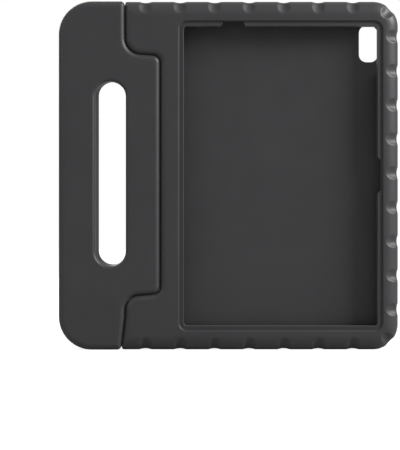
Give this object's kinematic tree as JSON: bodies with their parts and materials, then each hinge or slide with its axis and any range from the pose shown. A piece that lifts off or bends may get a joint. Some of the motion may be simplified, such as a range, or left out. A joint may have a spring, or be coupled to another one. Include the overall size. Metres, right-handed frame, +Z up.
{
  "type": "kids tablet case",
  "caption": "Thick moulded foam case for an upright tablet, with a bevelled screen window, ribbed rim and a slotted carry handle that swings back as a stand.",
  "frame": {"origin": "on the surface that the case stands on, under the middle of its width and of its wall thickness", "axes": "+X to the right seen from the screen side, +Y to the back, +Z up along the long side"},
  "size_m": [0.268, 0.0284, 0.275],
  "materials": {
    "body_foam": "moulded satin foam skin",
    "handle_foam": "moulded satin foam skin",
    "pin_plastic": "moulded satin"
  },
  "bodies": {
    "case": {"case_body": "body_foam", "upper_pivot_pin": "pin_plastic", "lower_pivot_pin": "pin_plastic"},
    "handle": {"carry_handle": "handle_foam"}
  },
  "joints": [
    {"name": "handle_pivot", "type": "hinge", "parent": "case", "child": "handle", "pos_m": [-0.06745, 0, 0.137], "axis": [0, 0, -1], "range_deg": [0, 90]}
  ]
}
